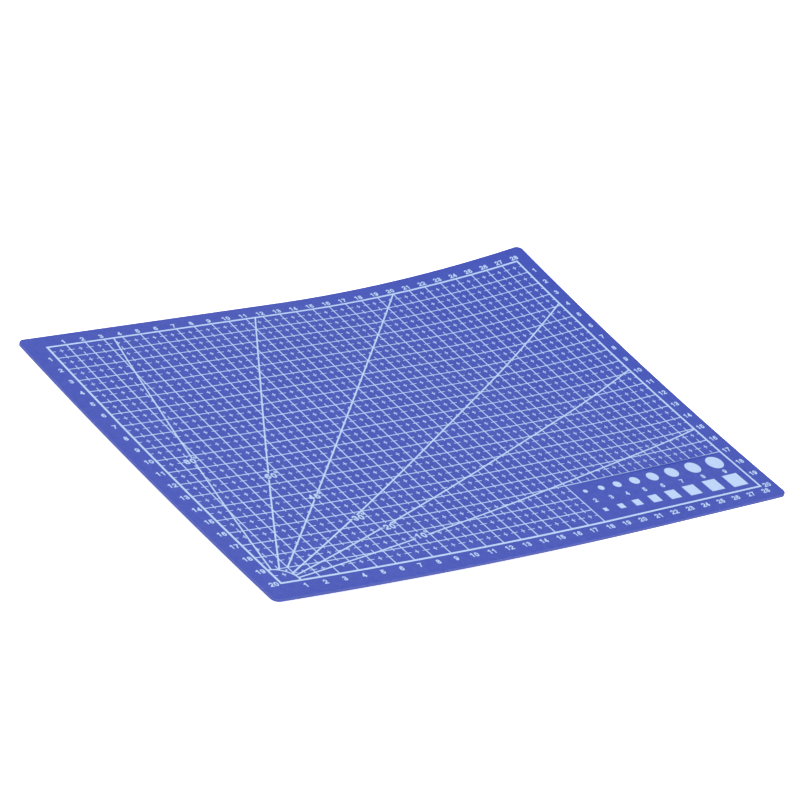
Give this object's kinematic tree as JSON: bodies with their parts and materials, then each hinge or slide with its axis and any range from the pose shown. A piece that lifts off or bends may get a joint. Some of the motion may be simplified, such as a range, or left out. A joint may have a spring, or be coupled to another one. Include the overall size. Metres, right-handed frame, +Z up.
{
  "type": "self healing cutting mat",
  "caption": "Thin flexible bench mat of bonded plies with a printed centimetre grid, angle lines and hole and square gauges.",
  "frame": {"origin": "centre of the sheet on its underside, where the mat lies flat on the bench", "axes": "+X along the 28 cm rule towards the gauge panel's side, +Y along the 20 cm rule away from the user, +Z up out of the printed face"},
  "size_m": [0.3001, 0.22, 0.0164],
  "materials": {
    "healing_ply": "fine matte pebble grain",
    "core_ply": "plain cut edge",
    "ink": "screen printed, slightly satin"
  },
  "bodies": {
    "root": {"bottom_healing_ply": "healing_ply", "core_ply": "core_ply", "top_healing_ply": "healing_ply", "centimetre_grid": "ink", "protractor_arc": "ink", "angle_line_10": "ink", "angle_line_20": "ink", "angle_line_30": "ink", "angle_line_45": "ink", "angle_line_45_inner": "ink", "angle_line_60": "ink", "angle_line_80": "ink", "circle_gauge_2_mm": "ink", "circle_gauge_3_mm": "ink", "circle_gauge_4_mm": "ink", "circle_gauge_5_mm": "ink", "circle_gauge_6_mm": "ink", "circle_gauge_7_mm": "ink", "circle_gauge_8_mm": "ink", "circle_gauge_9_mm": "ink", "square_gauge_2_mm": "ink", "square_gauge_3_mm": "ink", "square_gauge_4_mm": "ink", "square_gauge_5_mm": "ink", "square_gauge_6_mm": "ink", "square_gauge_7_mm": "ink", "square_gauge_8_mm": "ink", "square_gauge_9_mm": "ink"}
  },
  "joints": []
}
